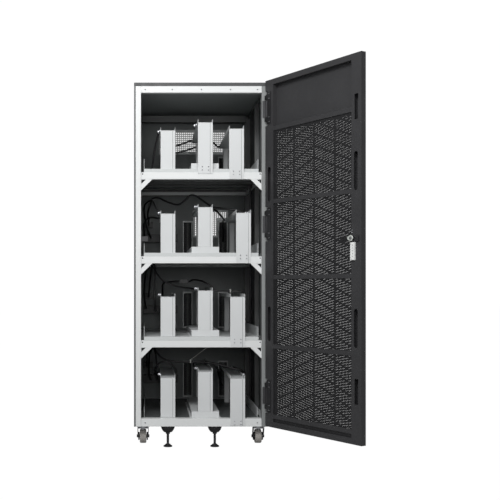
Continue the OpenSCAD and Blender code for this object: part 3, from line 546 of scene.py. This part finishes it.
# ------------------------------------------------------------------ cables
# routes of the cables: x, depth behind the frame's front face and z in millimetres
ROUTES = {
    1: [
        (4.6, [[-187.8, 149, 1336], [-187.8, 162, 1336], [-195, 176, 1318], [-205, 190, 1275], [-212, 205, 1225], [-218, 225, 1180], [-212, 255, 1157], [-205, 350, 1156], [-205, 540, 1156], [-170, 620, 1156], [-60, 645, 1156], [60, 655, 1162], [130, 670, 1185], [155, 695, 1203], [158, 728, 1205], [158, 743, 1205]]),
        (4.6, [[-115, 540, 1335], [-105, 540, 1335], [-61, 542, 1350], [-25, 540, 1363], [-15, 540, 1363]]),
        (4.6, [[-135, 551, 1300], [-125, 551, 1300], [-61, 552, 1312], [-6, 551, 1330], [5, 551, 1330]]),
        (4.6, [[51, 540, 1363], [62, 540, 1363], [92, 542, 1354], [113, 540, 1335], [124, 540, 1335]]),
    ],
    2: [
        (4.6, [[-225, 708, 885], [-225, 692, 885], [-245, 620, 930], [-256, 540, 985], [-258, 470, 1015], [-250, 425, 1035], [-229, 400, 1047], [-195, 380, 1060], [-141, 350, 1034], [-94, 330, 1020], [-65, 310, 1036], [-34, 300, 1062], [-4, 290, 1055], [35, 260, 1024], [73, 230, 998], [134, 202, 987], [165, 194, 983], [192, 184, 974], [210, 176, 963], [212.2, 162, 961], [212.2, 149, 961]]),
        (4.6, [[-187.8, 149, 961], [-187.8, 162, 961], [-206, 185, 1003], [-219, 230, 1030], [-229, 300, 1012], [-239, 400, 981], [-236, 520, 960], [-235, 620, 951], [-235, 700, 951], [-235, 720, 951]]),
        (4.6, [[53, 250, 988], [62, 250, 988], [82, 265, 988], [102, 300, 975], [126, 360, 958], [138, 450, 953], [141, 550, 953], [150, 640, 915], [158, 722, 870], [158, 743, 870]]),
        (4.6, [[-250, 708, 875], [-250, 692, 875], [-258, 600, 890], [-258, 500, 935], [-245, 430, 958], [-219, 402, 964], [-195, 392, 960], [-181, 392, 960]]),
    ],
    3: [
        (4.6, [[-250, 708, 515], [-250, 696, 515], [-251, 680, 520], [-258, 620, 600], [-250, 500, 690], [-235, 350, 724], [-215, 275, 718], [-191, 250, 679], [-158, 240, 646], [-97, 230, 625], [-42, 205, 617], [-22, 175, 614], [-19.8, 162, 614], [-19.8, 149, 614]]),
        (4.6, [[-45, 330, 650], [-36, 330, 650], [-19, 300, 658], [11, 225, 652], [33, 203, 641], [56, 196, 627], [76, 193, 608], [119, 190, 602], [165, 190, 603], [190, 186, 603], [203, 180, 597], [202.4, 170, 588], [201.8, 160, 586], [201.8, 149, 586]]),
        (4.6, [[-85, 330, 650], [-95, 330, 650], [-130, 350, 648], [-155, 420, 645], [-165, 510, 632], [-165, 575, 607], [-160, 640, 540], [-151, 674, 509], [-150, 693, 505], [-150, 708, 505]]),
        (4.6, [[-235, 720, 576], [-235, 708, 576], [-235, 692, 582], [-225, 640, 680], [-215, 500, 727], [-208, 360, 730], [-204, 308, 702], [-207, 312, 608], [-205, 330, 521], [-200, 500, 500], [-198, 672, 505], [-198, 692, 505], [-198, 708, 505]]),
    ],
    4: [
        (4.6, [[-245, 720, 211], [-245, 708, 211], [-245, 690, 215], [-245, 600, 300], [-235, 450, 345], [-215, 320, 345], [-203, 270, 325], [-181, 250, 293], [-144, 240, 276], [-87, 230, 270], [6, 222, 270], [75, 210, 264], [125, 200, 252], [170, 192, 241], [190, 186, 239], [203, 180, 231], [202.4, 170, 223], [201.8, 160, 221], [201.8, 149, 221]]),
        (4.6, [[-225, 708, 140], [-225, 692, 140], [-235, 620, 180], [-230, 500, 290], [-212, 390, 322], [-203, 310, 308], [-198, 275, 262], [-198, 250, 243], [-203, 210, 240], [-195, 175, 262], [-170, 158, 275], [-150, 153, 276], [-126, 160, 262], [-109, 185, 238], [-105, 212, 222], [-104, 260, 216], [-104, 400, 215], [-105, 550, 213], [-118, 635, 170], [-129, 676, 143], [-130, 694, 140], [-130, 708, 140]]),
        (4.6, [[-187.8, 149, 221], [-187.8, 162, 221], [-194, 185, 221], [-204, 240, 218], [-206, 400, 216], [-205, 555, 214], [-200, 625, 185], [-191, 674, 145], [-190, 693, 140], [-190, 708, 140]]),
        (4.6, [[-19.8, 149, 249], [-19.8, 162, 249], [-24, 190, 249], [-24, 235, 251], [-20, 258, 262], [2, 266, 267], [30, 266, 267], [56, 262, 264], [76, 257, 247], [92, 275, 232], [102, 320, 219], [106, 430, 215], [112, 550, 214], [138, 650, 130], [158, 725, 100], [158, 743, 100]]),
        (4, [[261, 380, 35], [261, 380, 200], [261, 380, 400], [261, 380, 600], [261, 380, 800], [261, 380, 1000], [261, 380, 1105]]),
    ],
}
for k, group in ROUTES.items():
    m = Build(root_at)
    for r, route in group:
        m.sweep(catmull(route, 7), r, 16)
    m.make("cable_run_%d" % k, MAT["cable_jacket"], "root", ["cables_%d" % k], recalc=False)

LUGS = []
for k in range(4):
    z = TIER[k] + HOLD_H
    LUGS += [(LEFT_X - 33, -1, z), (MID_X[k] - 33, -1, z + PED_H),
             (RIGHT_X[k] + 31, -1, z) if k == 2 else (RIGHT_X[k] + 33, 1, z)]
m = Build(root_at); sl = Build(root_at)
for x, s, z in LUGS:
    zc = z + 8
    # palm with a rounded front end
    poly = [(15, -7.7), (15, 7.7)] + [(-9 + 7.7 * (1 - math.sin(t)) , 7.7 * math.cos(t)) for t in np.linspace(0, math.pi, 13)]
    m.prism(poly, (x, 112, zc), (0, 1, 0), (0, 0, 1), (s, 0, 0), 3.0)
    # washer, hex head with a turned top, and the stud end
    m.lathe([(7.2, 3.0), (7.4, 3.2), (7.4, 4.2), (7.2, 4.4)], (x, 112, zc), (s, 0, 0), 28)
    hexp = [(6.0 * math.cos(math.radians(a)), 6.0 * math.sin(math.radians(a))) for a in range(0, 360, 60)]
    m.prism(hexp, (x + s * 4.4, 112, zc), (0, 1, 0), (0, 0, 1), (s, 0, 0), 2.6)
    m.lathe([(5.2, 7.0), (4.6, 7.4), (3.4, 7.45), (3.2, 7.3), (0, 7.3)], (x, 112, zc), (s, 0, 0), 24)
    # barrel, flared into the palm, with two crimps
    m.lathe([(4.2, 0), (5.6, 0.6), (6.2, 2.0), (6.25, 6), (5.7, 7.0), (5.7, 9.5), (6.25, 10.5), (6.25, 13), (5.7, 14), (5.7, 16.5), (6.25, 17.5), (6.25, 23.2), (5.6, 23.9), (4.7, 24)],
            (x + s * 6.8, 125, zc), (0, 1, 0), 24)
    # heat-shrink sleeve behind the barrel
    sl.lathe([(4.75, 0.0), (6.1, 0.1), (6.25, 1.0), (6.0, 6), (5.3, 10), (5.15, 19), (4.9, 20), (4.7, 20.1)], (x + s * 6.8, 149.05, zc), (0, 1, 0), 24)
m.make("terminal_lugs", MAT["zinc_steel"], "root", ["cable_lugs"], 0.35)
sl.make("lug_sleeves", MAT["black_plastic"], "root")

# inline connector and the riser's end box
m = Build(root_at)
m.box(-85, -66.2, 319.2, 340.8, 640.2, 659.8); m.box(-63.8, -45, 319.2, 340.8, 640.2, 659.8)
m.box(-67, -63, 320.4, 339.6, 641.4, 658.6)
for x in (-81, -77.5, -74, -56, -52.5, -49):
    m.box(x, x + 1.6, 318.9, 341.1, 639.9, 660.1)
m.box(255.6, 268.7, 368.2, 391.8, 1105.1, 1141.8)
m.box(254.9, 255.9, 371, 389, 1108.5, 1138.5)
for z in (1111, 1136):
    m.lathe([(2.4, 0), (2.4, 0.5), (1.6, 1.0), (0, 1.05)], (254.9, 380, z), (-1, 0, 0), 16)
m.make("connector_shells", MAT["black_plastic"], "root", ["cable_plugs"], 0.9)

# ties: band with a ribbed tail and a ratchet head
def tie_turn(x, y, z, a):
    c, s = math.cos(math.radians(a)), math.sin(math.radians(a))
    return lambda p: np.c_[x + c * p[:, 0] - s * p[:, 1], y + s * p[:, 0] + c * p[:, 1], z + p[:, 2]]
m = Build(root_at)
for x, y, z, a in ((-38, 225.8, 270.3, -5), (146, 189.6, 602.4, 0)):
    T = tie_turn(x, y, z, a)
    n0 = len(m.v)
    m.ring([(5.15, -2.2), (6.2, -2.2), (6.35, -1.8), (6.35, 1.8), (6.2, 2.2), (5.15, 2.2)], (0, 0, 0), (1, 0, 0), 32)
    m.v[-1] = T(m.v[-1])
    m.box(-3.2, 3.2, -3.4, 3.4, 5.7, 10.1, turn=T)
    m.box(-2.0, 2.0, -2.2, 2.2, 9.9, 10.5, turn=T)
c, s = math.cos(math.radians(37)), math.sin(math.radians(37))
def tail(p):
    return np.c_[-38 + c * p[:, 0] - s * p[:, 2], 223.5 + p[:, 1], 278.5 + s * p[:, 0] + c * p[:, 2]]
m.box(0, 92, 0, 4.4, 0, 1.0, turn=tail)
m.prism([(92, 0), (98.5, 1.3), (99.6, 2.2), (98.5, 3.1), (92, 4.4)], (0, 0, 0), (1, 0, 0), (0, 1, 0), (0, 0, 1), 1.0)
m.v[-1] = tail(m.v[-1])
for i in range(34):
    m.box(8 + i * 2.4, 9.3 + i * 2.4, 0.7, 3.7, 0.95, 1.35, turn=tail)
m.make("nylon_ties", MAT["tie_plastic"], "root", ["cable_ties"], 0.15)

# ------------------------------------------------------------------ rear wall pieces
entries = [(x, TIER[k] + 14, TIER[k] + 190) for k in range(3) for x in (-29, 158)] + [(158, TIER[3] + 14, TIER[3] + 156)]
m = Build(root_at)
for x, za, zb in entries:
    for side in (-1, 1):
        xo = x + side * 20
        m.box(min(xo, xo - side * 4.5), max(xo, xo - side * 4.5), 742.6, 747.0, za + 0.2, zb - 0.2)
        z = za + 0.8
        while z < zb - 1.2:
            lean = rng.normal(0, 0.5); dep = rng.uniform(744.0, 745.6); reach = 15.2 + rng.uniform(-0.9, 0.5)
            xa, xb = xo - side * 4.0, xo - side * (4.0 + reach)
            w = 0.45
            v = [(xa, dep - w, z - w), (xa, dep + w, z - w), (xa, dep + w, z + w), (xa, dep - w, z + w),
                 (xb, dep - 0.3 + lean * 0.4, z + lean - 0.2), (xb, dep + 0.3 + lean * 0.4, z + lean - 0.2),
                 (xb, dep + 0.3 + lean * 0.4, z + lean + 0.25), (xb, dep - 0.3 + lean * 0.4, z + lean + 0.25)]
            m.add(v, [[0, 1, 2, 3], [4, 7, 6, 5], [0, 4, 5, 1], [1, 5, 6, 2], [2, 6, 7, 3], [3, 7, 4, 0]])
            z += 1.15
m.make("bristle_strips", MAT["brush_bristle"], "root", ["cable_entry_brushes"])

m = Build(root_at)
for k in range(3):
    z = TIER[k]
    for x0, x1, y0, z0, z1 in ((-262, -84, 708, z + 84, z + 126), (-262, -214, 720, z + 160, z + 192)):
        m.box(x0, x1, y0, y0 + 1.6, z0, z1)                      # cover
        m.box(x0, x1, y0 + 1.6, y0 + 6, z1 - 1.8, z1 - 0.1); m.box(x0, x1, y0 + 1.6, y0 + 6, z0 + 0.1, z0 + 1.8)
        m.box(x0, x1, 745.8, 748, z0 + 1, z1 - 1)                  # back
        x = x0 + 0.3
        while x < x1 - 7:
            m.box(x, x + 7.2, y0 + 3, 746, z0 + 0.6, z0 + 2.4); m.box(x, x + 7.2, y0 + 3, 746, z1 - 2.4, z1 - 0.6)
            x += 12.2
        m.box(x0, x1, 736, 746, z0 + 0.5, z0 + 2.3); m.box(x0, x1, 736, 746, z1 - 2.3, z1 - 0.5)
m.make("slotted_ducts", MAT["black_plastic"], "root", ["wiring_ducts"], 0.3)

# ------------------------------------------------------------------ screws
def pan(m, o, axis, r=3.0, h=1.7, mat=0):
    """a domed head with a cross recess; the cross is a thin strip in the second, dark material, painted shade for the
    recess
    """
    m.lathe([(r * 0.96, 0.0), (r, 0.25 * h), (r * 0.93, 0.55 * h), (r * 0.72, 0.85 * h), (r * 0.42, h), (r * 0.30, 0.62 * h), (0, 0.45 * h)], o, axis, 20, mats=[mat] * 6)
    w = np.array(axis, float); a = np.array([0, 0, 1.0]) if abs(w[2]) < 0.9 else np.array([1.0, 0, 0])
    e1 = np.cross(w, a); e1 /= np.linalg.norm(e1); e2 = np.cross(w, e1)
    o = np.array(o, float)
    for p, q in ((e1, e2), (e2, e1)):
        # the cross: a thin dark strip, painted shade for the recess
        m.prism([(-r * 0.62, -r * 0.11), (r * 0.62, -r * 0.11), (r * 0.62, r * 0.11), (-r * 0.62, r * 0.11)], o + w * h * 0.86, p, q, w, h * 0.06, mat=1)
m = Build(root_at)
F = (0, -1, 0)
for x in (-250, -130, 0, 130, 250):
    pan(m, (x, 0, 1517 - 15), F, 3.2, 1.8)
for x in (-250, 250):
    pan(m, (x, 4, 17.5), F, 3.2, 1.8)
for x in (-14, 14):
    for z in (9, -6):
        pan(m, (18 + x, 2, 1150 + z), F, 3.0, 1.6)
    for k in range(4):
        for z in (-11, -26):
            pan(m, (RIGHT_X[k] + x, 2, TIER[k] + z), F, 3.0, 1.6)
for k in (1, 2, 3):
    for x in (-262, 262):
        pan(m, (x, 4, TIER[k] - 24), F, 3.0, 1.6, 1)
m.make("pan_screws", [MAT["zinc_steel"], DARK_STEEL_AND_RECESS_SHADE], "root", ["frame_screws"])

# rolled edges and the pressed line on the front plates of the hold-downs; the pressed line is a shallow strip in the
# dark second colour, a painted shadow in its crease
m = Build(root_at)
for k in range(4):
    z = TIER[k]
    for cx, y, z0, z1 in ((LEFT_X, 45, z + 1.5, z + HOLD_H - 3), (MID_X[k], 2 if k == 3 else 33, z - 22 if k == 3 else z + PED_H + 1, z + PED_H + HOLD_H - 3),
                          (RIGHT_X[k], 2, z - 30 if k == 0 else z - 46, z + HOLD_H - 3)):
        for x in (cx - 32, cx + 32):
            m.prism([(-0.95, 0.1), (-0.8, -0.45), (-0.3, -0.7), (0.3, -0.7), (0.8, -0.45), (0.95, 0.1)], (x, y, z0), (1, 0, 0), (0, 1, 0), (0, 0, 1), z1 - z0)
        # the pressed line in the dark colour: painted shadow
        m.prism([(-0.9, 0.1), (-0.4, -0.15), (0.4, -0.15), (0.9, 0.1)], (cx + 21.5, y, z0), (1, 0, 0), (0, 1, 0), (0, 0, 1), z1 - z0, mat=1)
m.make("plate_edges", [MAT["frame_paint"], GREY], "root")

m = Build(door_at)
# hinge leaf screws, and the small screws of the latch
for hz in (1413, 901, 140):
    for hx in (-29, -22):
        for z in (-62, -41, 41, 62):
            u = 292.5 - (290 + hx)
            v = -3.6
            m.lathe([(1.9, 0), (1.9, 0.25), (1.5, 0.5), (0, 0.6)], (u, v, hz + z), (0, -1, 0), 18)
for z in (835, 843.5):
    pan(m, (534, 0.0, z), (0, -1, 0), 2.9, 1.6)
m.make("door_screws", [MAT["zinc_steel"], DARK_STEEL_AND_RECESS_SHADE], "door")

# the latch case: black discs down its middle standing in for recessed dots, and a black block beside the cam standing
# in for the dark cut-out there: painted shade
m = Build(door_at)
for z in (741, 752, 763, 774, 783):
    m.lathe([(1.5, 0), (1.5, 0.15), (0, 0.16)], (545, -7.0, z), (0, -1, 0), 16)
for z in (738, 748, 758, 768, 778, 788):
    m.box(531.0, 532.6, -7.1, -0.5, z - 1.6, z + 1.6)
m.box(554.5, 574, -5, 0, 799, 822)
m.box(557, 571.5, -5.4, -4.9, 802, 819)
m.make("latch_dark_marks", MAT["black_plastic"], "door", bevel=0.5)

# ------------------------------------------------------------------ casters: wheels
CP = [(-260, -325), (260, -325), (-260, 325), (260, 325)]
for i, (cx, cy) in enumerate(CP):
    m = Build(plain)
    o = (cx, cy + 20, -52.5)
    half = [(4.06, 21.0), (4.5, 21.4), (7.5, 21.45), (8.0, 21.0), (8.0, 14.9), (9.4, 14.2), (9.8, 11.0), (10.6, 9.2), (18.8, 9.2), (19.8, 10.2), (20.4, 12.6), (21.2, 13.6),
            (26.6, 14.7), (28.2, 14.6), (29.6, 13.8), (30.7, 12.2), (31.2, 10.2), (31.42, 7.0), (31.5, 3.0)]
    mm_ = [1] * 11 + [0] * 7
    prof = [(r, -h) for r, h in half] + [(r, h) for r, h in half[::-1]]
    mats = mm_ + [0] + mm_[::-1] + [1]
    m.ring(prof, o, (1, 0, 0), 96, mats=mats)
    for s in (-1, 1):
        for a in range(0, 360, 60):
            ca, sa = math.cos(math.radians(a)), math.sin(math.radians(a))
            poly = [(9.2, -1.3), (19.9, -1.0), (19.9, 1.0), (9.2, 1.3)]
            m.prism(poly, (o[0] + s * 8.8, o[1], o[2]), (0, ca, sa), (0, -sa, ca), (s, 0, 0), 3.0, mat=1)
    m.make("tyre_and_hub_%d" % (i + 1), [MAT["wheel_rubber"], HUB], "wheel_%d" % (i + 1), ["caster_wheel_%d" % (i + 1)], 0.0)

# thread guards between the fork's legs and the wheel
for i, (cx, cy) in enumerate(CP):
    m = Build(plain)
    for s in (-1, 1):
        m.ring([(8.7, 15.9), (16.5, 15.9), (17.6, 16.6), (18.0, 18.0), (18.0, 21.9), (8.7, 21.9)], (cx, cy + 20, -52.5), (s, 0, 0), 48)
    m.make("thread_guards_%d" % (i + 1), MAT["black_plastic"], "caster_%d" % (i + 1))

# ------------------------------------------------------------------ levelling feet
FP = [(-148, -315), (64, -315), (-148, 315), (64, 315)]
cups = Build(plain)
for i, (cx, cy) in enumerate(FP):
    m = Build(plain)
    # pad: a pressed cup with a rolled rim and a ball socket
    m.lathe([(0, 0), (18.6, 0), (19.8, 0.5), (20, 1.6), (20, 3.6), (19.5, 4.7), (18.6, 5.4), (16.6, 6.2), (13.2, 8.6), (11.2, 11.2), (10.0, 12.4), (8.6, 12.9), (7.2, 13), (0, 13)],
            (cx, cy, -99), (0, 0, 1), 64)
    # M12 stem with a rolled thread
    z0, z1, pt = -86.5, 14.0, 1.75
    seg, n = 24, int((z1 - z0) / pt * 4)
    v, f = [], []
    for a in range(n + 1):
        z = z0 + (z1 - z0) * a / n
        for k in range(seg):
            ph = (z / pt - k / seg) % 1.0
            tri = 1 - abs(2 * ph - 1)
            fade = min(1, (z1 - z) / 2.0 + 0.2)
            r = (5.98 - 0.85 * (1 - tri)) * (1 if z < z1 - 1.5 else 0.9 + 0.1 * fade)
            t = 2 * math.pi * k / seg
            v.append((cx + r * math.cos(t), cy + r * math.sin(t), z))
    for a in range(n):
        for k in range(seg):
            k2 = (k + 1) % seg
            f.append([a * seg + k, a * seg + k2, (a + 1) * seg + k2, (a + 1) * seg + k])
    f += [list(range(seg))[::-1], list(range(n * seg, (n + 1) * seg))]
    m.add(v, f, True)
    m.make("threaded_foot_%d" % (i + 1), MAT["black_steel"], "foot_%d" % (i + 1), ["levelling_foot_%d" % (i + 1)])
    # domed housing with a lip, and a chamfered locknut
    cups.ring([(6.1, 0), (30.8, 0), (31, -0.6), (31, -10.8), (30.6, -12.2), (29.6, -15.0), (27.6, -20.0), (24.6, -25.0), (21.2, -29.2), (18.6, -31.8), (17, -32.9), (6.1, -33)],
              (cx, cy, 0), (0, 0, 1), 64)
    for a in range(0, 360, 30):
        t = math.radians(a)
        e1, e2 = (math.cos(t), math.sin(t), 0), (-math.sin(t), math.cos(t), 0)
        cups.prism([(27, -0.6), (30.99, -0.6), (30.99, 0.6), (27, 0.6)], (cx, cy, -11.6), e1, e2, (0, 0, 1), 11.4)
    hexo = [(9.8 * math.cos(math.radians(a)), 9.8 * math.sin(math.radians(a))) for a in range(0, 360, 60)]
    cups.prism(hexo, (cx, cy, -40.4), (1, 0, 0), (0, 1, 0), (0, 0, 1), 6.6, mat=1)
    cups.ring([(6.1, -40.9), (8.3, -40.9), (8.7, -40.4), (8.7, -33.8), (8.3, -33.3), (6.1, -33.3)], (cx, cy, 0), (0, 0, 1), 48, mats=[1] * 6)
cups.make("foot_cups", [MAT["black_plastic"], MAT["black_steel"]], "root", ["foot_housings"], 0.4)

# ------------------------------------------------------------------ floor, light
def stage_plane():
    me = bpy.data.meshes.new("floor")
    me.from_pydata([(-30, -30, -0.0992), (30, -30, -0.0992), (30, 30, -0.0992), (-30, 30, -0.0992)], [], [[0, 1, 2, 3]])
    ob = bpy.data.objects.new("floor", me)
    bpy.context.scene.collection.objects.link(ob)
    mt = bpy.data.materials.new("floor"); mt.use_nodes = True
    p = mt.node_tree.nodes["Principled BSDF"]
    p.inputs["Base Color"].default_value = (0.42, 0.42, 0.42, 1)
    p.inputs["Roughness"].default_value = 0.9
    p.inputs["Specular IOR Level"].default_value = 0.1
    nt = mt.node_tree
    em = nt.nodes.new("ShaderNodeEmission"); em.inputs[0].default_value = (1, 1, 1, 1); em.inputs[1].default_value = 1.02
    lpf = nt.nodes.new("ShaderNodeLightPath")
    sc_ = nt.nodes.new("ShaderNodeMath"); sc_.operation = "MULTIPLY"; sc_.inputs[1].default_value = 0.985
    ms = nt.nodes.new("ShaderNodeMixShader")
    nt.links.new(lpf.outputs["Is Camera Ray"], sc_.inputs[0])
    nt.links.new(sc_.outputs[0], ms.inputs[0])
    nt.links.new(p.outputs[0], ms.inputs[1])
    nt.links.new(em.outputs[0], ms.inputs[2])
    nt.links.new(ms.outputs[0], nt.nodes["Material Output"].inputs[0])
    me.materials.append(mt)
stage_plane()

world = bpy.data.worlds.new("studio")
bpy.context.scene.world = world
world.use_nodes = True
wt = world.node_tree
bg = wt.nodes["Background"]
bg.inputs[0].default_value = (1, 1, 1, 1)
bg.inputs[1].default_value = 0.27
bg2 = wt.nodes.new("ShaderNodeBackground")
bg2.inputs[0].default_value = (1, 1, 1, 1)
bg2.inputs[1].default_value = 1.02
lp = wt.nodes.new("ShaderNodeLightPath")
mx = wt.nodes.new("ShaderNodeMixShader")
wt.links.new(lp.outputs["Is Camera Ray"], mx.inputs[0])
wt.links.new(bg.outputs[0], mx.inputs[1])
wt.links.new(bg2.outputs[0], mx.inputs[2])
wt.links.new(mx.outputs[0], wt.nodes["World Output"].inputs[0])

def area(name, loc, target, size, power, size_y=None):
    d = bpy.data.lights.new(name, "AREA")
    d.shape = "RECTANGLE"
    d.size, d.size_y, d.energy = size, size_y or size, power
    o = bpy.data.objects.new(name, d)
    bpy.context.scene.collection.objects.link(o)
    o.location = loc
    o.rotation_euler = (Vector(target) - Vector(loc)).to_track_quat("-Z", "Y").to_euler()
area("key", (-0.7, -2.7, 2.7), (-0.05, -0.3, 1.1), 1.5, 70, 1.0)
area("fill", (0.1, -4.6, 1.3), (0, 0, 0.95), 1.8, 40, 1.4)
area("top", (0.2, -0.4, 4.2), (0, 0, 0.5), 3.2, 34)

sc = bpy.context.scene
sc.view_settings.view_transform = "Standard"
sc.view_settings.look = "None"
sc.view_settings.exposure = 0.0
sc.view_settings.gamma = 1.0
